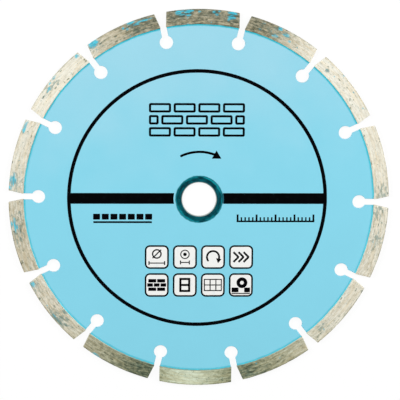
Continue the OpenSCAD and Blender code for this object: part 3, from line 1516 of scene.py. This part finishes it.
@dataclass
class PrintedFace:
    """The ink on the front face of the core: ring, bars, arrow, tiles and plain marks."""

    sizes: BladeSizes
    centre: Pair = (-0.9, 0.32)
    turn: float = math.radians(0.87)
    film_height: float = 0.02
    smooth: float = math.radians(30)
    ring_r: float = 60.64
    ring_stroke: float = 1.7
    ring_steps: int = 256
    bar_height: float = 5.16
    bar_y: float = 0.06
    bar_cuts: int = 12
    bar_layers: float = 0.9
    left_hub_r: float = 11.2
    right_hub_r: float = 11.75
    arrow_centre: Pair = (1.0, 2.3)
    arrow_r: float = 20.0
    arrow_stroke: float = 1.15
    arrow_from: float = math.radians(115.5)
    arrow_to: float = math.radians(67.0)
    arrow_head: Pair = (9.0, 20.4)
    arrow_head_r: float = 2.6
    tile: float = 11.42
    tile_round: float = 2.4
    tile_line: float = 0.8
    tile_pitch: Pair = (13.35, 13.5)
    tiles_centre: Pair = (1.0, -34.85)
    tiles_across: int = 4
    panel_layers: float = 0.8
    sign_layers: float = 1.4
    wall_centre: Pair = (-0.35, 37.5)
    bricks_across: int = 4
    brick: Pair = (10.4, 4.5)
    brick_joint: float = 1.2
    brick_round: float = 0.9
    brick_line: float = 1.05
    block_row: Pair = (-35.26, -9.6)
    blocks: int = 7
    block: Pair = (3.3, 2.8)
    block_round: float = 0.25
    block_pitch: float = 4.1
    block_rise: float = 0.9
    block_line: Pair = (27.7, 0.9)
    block_line_drop: float = 1.7
    tick_row: Pair = (37.2, -10.9)
    ticks: int = 21
    tick_pitch: float = 1.8
    tick: Pair = (0.7, 2.0)
    fifth_tick: Pair = (0.9, 3.3)
    tick_round: float = 0.05
    tick_line: Pair = (36.9, 0.8)

    def lay(self, name: str, film: Film, ink: bpy.types.Material, layers: float = 1.0) -> None:
        """Joins the shapes of a film and lays it on the face of the core.

        Args:
            name: The name of the piece.
            film: The shapes.
            ink: Their ink.
            layers: The height of the film, in single films.
        """
        first, *others = film.shapes
        piece = first.join(others).place((*self.centre, self.sizes.core_face), self.turn)
        piece.modify("SOLIDIFY", thickness=2 * layers * self.film_height, offset=0.0)
        piece.settle(name, ink, self.smooth)

    def spoke(self, side: int, hub: Vector, hub_r: float) -> Workpiece:
        """Makes a bar that runs from a circle round a hub out to the ring.

        Args:
            side: 1 for the bar on the right and -1 for the one on the left.
            hub: The middle of the circle in the print.
            hub_r: The radius of the circle.

        Returns:
            The bar.
        """

        def stretch(point: Vector) -> Vector:
            """Takes one end of the bar to the ring and the other to the hub."""
            middle, radius = (Vector((0.0, 0.0)), self.ring_r) if point.x > 0 else (hub, hub_r)
            return Vector((middle.x + side * math.sqrt(radius**2 - (point.y - middle.y) ** 2), point.y, 0.0))

        piece = Workpiece.sheet(STRIP, self.bar_height).place((0.0, self.bar_y, 0.0))
        return piece.cut(Axis.Y, self.bar_cuts).reshape(stretch)

    def bars(self) -> Film:
        """Draws the two bars: one to a circle round the print's centre, and one to a circle round the hole.

        Returns:
            The film.
        """
        film = Film()
        film.put(self.spoke(-1, Vector((0.0, 0.0)), self.left_hub_r))
        film.put(self.spoke(1, Matrix.Rotation(-self.turn, 2) @ -Vector(self.centre), self.right_hub_r))
        return film

    def arrow(self) -> Film:
        """Draws the arrow that shows which way the blade turns.

        Returns:
            The film.
        """
        film = Film()
        film.arc(*self.arrow_centre, self.arrow_r, self.arrow_stroke, self.arrow_from, self.arrow_to)
        film.wedge(*self.arrow_head, self.arrow_head_r, math.pi / 2)
        return film

    def tile_place(self, mark: TileMark) -> Pair:
        """Gives the middle of the tile that has a sign.

        Args:
            mark: The sign.

        Returns:
            The place in the print.
        """
        row, column = divmod(mark.value - 1, self.tiles_across)
        x = self.tiles_centre[0] + (column - (self.tiles_across - 1) / 2) * self.tile_pitch[0]
        y = self.tiles_centre[1] + (0.5 - row) * self.tile_pitch[1]
        return x, y

    def tiles(self) -> tuple[Film, Film, Film]:
        """Draws the tiles.

        Returns:
            Their panels, their frames and their signs.
        """
        panels, frames, signs = Film(), Film(), Film()
        inner, inner_round = self.tile - self.tile_line, self.tile_round - self.tile_line / 2
        for mark in TileMark:
            place = self.tile_place(mark)
            panels.put(Workpiece.plate(inner, inner, inner_round, panels.frame_steps), *place)
            frames.outline(*place, self.tile, self.tile, self.tile_round, self.tile_line)
            signs.about = place
            self.sign(signs, mark)
        return panels, frames, signs

    def sign(self, film: Film, mark: TileMark) -> None:
        """Draws the sign of one tile.

        Args:
            film: The film, which is drawn about the middle of the tile.
            mark: Which sign.
        """
        slant = math.radians(45)
        match mark:
            case TileMark.OUTSIDE_SIZE:
                film.hoop(x=0.0, y=1.5, radius=2.0, stroke=0.65)
                film.bar(x=0.0, y=1.5, width=5.8, height=0.55, turn=slant)
                film.size_line(y=-2.9, width=7.4)
            case TileMark.HOLE_SIZE:
                film.hoop(x=0.0, y=1.3, radius=2.0, stroke=film.thin_line)
                film.put(Workpiece.disc(radius=0.85, steps=film.dot_steps), y=1.3)
                film.size_line(y=-2.6, width=4.2)
            case TileMark.TURNING:
                start, end = math.radians(215), math.radians(-20)
                film.arc(x=0.0, y=0.0, radius=2.9, stroke=0.9, start=start, end=end)
                film.wedge(x=2.6, y=-1.5, radius=1.5, turn=math.radians(-100))
            case TileMark.FAST:
                for x in (-2.4, 0.0, 2.4):
                    film.bar(x, y=1.15, width=3.5, height=0.95, turn=-slant)
                    film.bar(x, y=-1.15, width=3.5, height=0.95, turn=slant)
            case TileMark.BRICKWORK:
                for y in (2.05, -2.05):
                    for x in (-2.1, 2.1):
                        film.bar(x, y, width=3.8, height=1.65, corner=film.block_corner)
                for x in (-3.15, 0.0, 3.15):
                    film.bar(x, y=0.0, width=2.7, height=1.65, corner=film.block_corner)
            case TileMark.HOLLOW_BLOCK:
                for y in (-2.9, 0.0, 2.9):
                    film.bar(x=0.0, y=y, width=5.2, height=1.05)
                for x in (-2.1, 2.1):
                    film.bar(x, y=0.0, width=1.05, height=6.8)
            case TileMark.PAVING:
                for y in (-2.7, 0.0, 2.7):
                    film.bar(x=0.0, y=y, width=8.6, height=film.thin_line)
                for x in (-4.05, -1.3, 1.45, 4.05):
                    film.bar(x, y=0.0, width=film.thin_line, height=5.8)
            case TileMark.SAW_CUT:
                film.hoop(x=0.5, y=1.1, radius=1.75, stroke=1.7)
                film.bar(x=-2.75, y=-2.4, width=3.3, height=2.3, corner=film.block_corner)
                film.bar(x=3.0, y=-2.4, width=2.8, height=2.3, corner=film.block_corner)
                film.bar(x=0.0, y=-4.1, width=8.8, height=film.thin_line)

    def wall(self) -> Film:
        """Draws three courses of bricks, in the bond of a plain wall.

        Returns:
            The film.
        """
        film = Film(self.wall_centre)
        length, height = self.brick
        short = (length - self.brick_joint) / 2
        whole = [length] * self.bricks_across
        broken = [short, *whole[1:], short]
        for course, lengths in ((-1, whole), (0, broken), (1, whole)):
            left = -(sum(whole) + (len(whole) - 1) * self.brick_joint) / 2
            for width in lengths:
                y = course * (height + self.brick_joint)
                film.outline(left + width / 2, y, width, height, self.brick_round, self.brick_line)
                left += width + self.brick_joint
        return film

    def underlined_blocks(self) -> Film:
        """Draws a row of blocks above a line.

        Returns:
            The film.
        """
        film = Film(self.block_row)
        for index in range(self.blocks):
            x = (index - (self.blocks - 1) / 2) * self.block_pitch
            film.bar(x, self.block_rise, *self.block, corner=self.block_round)
        film.bar(0.0, -self.block_line_drop, *self.block_line)
        return film

    def ruler(self) -> Film:
        """Draws a row of ticks on a line, with every fifth one longer.

        Returns:
            The film.
        """
        film = Film(self.tick_row)
        for index in range(self.ticks):
            width, height = self.tick if index % 5 else self.fifth_tick
            x = (index - (self.ticks - 1) / 2) * self.tick_pitch
            film.bar(x, height / 2, width, height, corner=self.tick_round)
        film.bar(0.0, 0.0, *self.tick_line)
        return film

    def build(self) -> None:
        """Builds and dresses the whole print."""
        black = Ink("black_ink", srgb(4, 4, 6), srgb(16, 20, 23)).make()
        white = Ink("white_ink", srgb(243, 243, 240), srgb(224, 234, 236), rough=0.5).make()
        ring = Film()
        ring.put(Workpiece.hoop(self.ring_r, self.ring_stroke, self.ring_steps))
        self.lay("print_ring", ring, black)
        self.lay("print_bars", self.bars(), black, self.bar_layers)
        self.lay("print_arrow", self.arrow(), black)
        panels, frames, signs = self.tiles()
        self.lay("tile_panels", panels, white, self.panel_layers)
        self.lay("tile_frames", frames, black, self.sign_layers)
        self.lay("tile_signs", signs, black, self.sign_layers)
        self.lay("brick_panel", self.wall(), black)
        self.lay("block_row", self.underlined_blocks(), black)
        self.lay("tick_row", self.ruler(), black)


@dataclass
class CoreAndRing:
    """The painted core and the lacquered ring, which keep the shapes of their CAD nodes."""

    sizes: BladeSizes

    def dress(self) -> None:
        """Gives both nodes their finishes."""
        finishes = {
            "steel_core": CorePaint(self.sizes.rim_r, self.sizes.ring_r).make(),
            "reducing_ring": RingLacquer(self.sizes.ring_bore_r, self.sizes.ring_r).make(),
        }
        for name, material in finishes.items():
            node = frame["nodes"][name]
            node.data.materials.clear()
            node.data.materials.append(material)
            LOG.info("%s: dressed", name)


@dataclass
class Studio:
    """The pale cove that the blade lies in, its soft light, and the camera of the photograph."""

    sizes: BladeSizes
    floor_r: float = 2400.0
    floor_steps: int = 96
    cove_r: float = 500.0
    cove_steps: int = 9
    sky: float = 0.25
    lamp_watts: float = 5.1
    lamp_size: Pair = (600.0, 450.0)
    lamp_distance: float = 900.0
    lamp_azimuth: float = math.radians(22)
    lamp_elevation: float = math.radians(42)
    camera_distance: float = 1111.0
    camera_shift: Pair = (0.445, -0.454)
    lean_back: float = 0.15782
    lean_side: float = 0.03252
    blade_turn: float = math.radians(1.22)
    focal_pixels: float = 2347.3
    frame_pixels: float = 400.0
    sensor_mm: float = 36.0
    nearest: float = 50.0
    furthest: float = 20000.0

    def cove(self) -> None:
        """Builds the floor and the curved wall round it."""
        floor = Workpiece.disc(self.floor_r, self.floor_steps)
        angles = [math.pi / 2 * step / self.cove_steps for step in range(self.cove_steps + 1)]
        with floor.editing():
            bpy.ops.mesh.select_mode(type="EDGE")
            for low, high in zip(angles, angles[1:]):
                rise = self.cove_r * (math.cos(low) - math.cos(high))
                inner, outer = (self.floor_r + self.cove_r * math.sin(angle) for angle in (low, high))
                bpy.ops.mesh.extrude_edges_move(TRANSFORM_OT_translate={"value": (0.0, 0.0, rise)})
                resize(outer / inner, outer / inner)
        floor.place((0.0, 0.0, -self.sizes.segment_face))
        floor.mesh.transform(Matrix.Scale(MM, 4))
        floor.mesh.materials.append(Paper().make())
        floor.item.name = "floor"

    def lights(self) -> None:
        """Hangs a soft box on each side of the blade and fills the room with even light."""
        world = bpy.data.worlds.new("room")
        world.use_nodes = True
        sky = world.node_tree.nodes["Background"].inputs
        sky["Color"].default_value = WHITE
        sky["Strength"].default_value = self.sky
        bpy.context.scene.world = world
        flat = self.lamp_distance * math.cos(self.lamp_elevation)
        height = self.lamp_distance * math.sin(self.lamp_elevation)
        for name, side in (("soft_box_left", -1), ("soft_box_right", 1)):
            lamp = bpy.data.lights.new(name, "AREA")
            lamp.shape = "RECTANGLE"
            lamp.size, lamp.size_y = (length * MM for length in self.lamp_size)
            lamp.energy = self.lamp_watts
            item = bpy.data.objects.new(name, lamp)
            x, y = side * flat * math.cos(self.lamp_azimuth), flat * math.sin(self.lamp_azimuth)
            item.location = Vector((x, y, height)) * MM
            item.rotation_euler = (-item.location).to_track_quat("-Z", "Y").to_euler()
            item.visible_camera = False
            bpy.context.scene.collection.objects.link(item)

    def camera(self) -> None:
        """Stands the camera where the photograph was taken from."""
        lens = bpy.data.cameras.new("camera")
        lens.sensor_width = self.sensor_mm
        lens.lens = self.sensor_mm * self.focal_pixels / self.frame_pixels
        lens.clip_start, lens.clip_end = self.nearest * MM, self.furthest * MM
        item = bpy.data.objects.new("camera", lens)
        view = Matrix.Rotation(self.lean_back, 3, "X") @ Matrix.Rotation(self.lean_side, 3, "Y")
        axes = Matrix.Rotation(self.blade_turn, 3, "Z") @ view.transposed()
        place = axes @ Vector((*self.camera_shift, self.camera_distance)) * MM
        item.matrix_world = Matrix.Translation(place) @ axes.to_4x4()
        bpy.context.scene.collection.objects.link(item)
        bpy.context.scene.camera = item

    def build(self) -> None:
        """Sets up the cove, the lights and the camera."""
        self.cove()
        self.lights()
        self.camera()
        bpy.context.scene.view_settings.view_transform = "Standard"


def main() -> None:
    """Sets up the studio, and builds and dresses the blade in it."""
    logging.basicConfig(level=logging.INFO, format="%(message)s")
    sizes = BladeSizes.from_frame()
    Studio(sizes).build()
    CoreAndRing(sizes).dress()
    WeldSeams(sizes).build()
    DiamondSegments(sizes).build()
    PrintedFace(sizes).build()


if __name__ == "__main__":
    main()
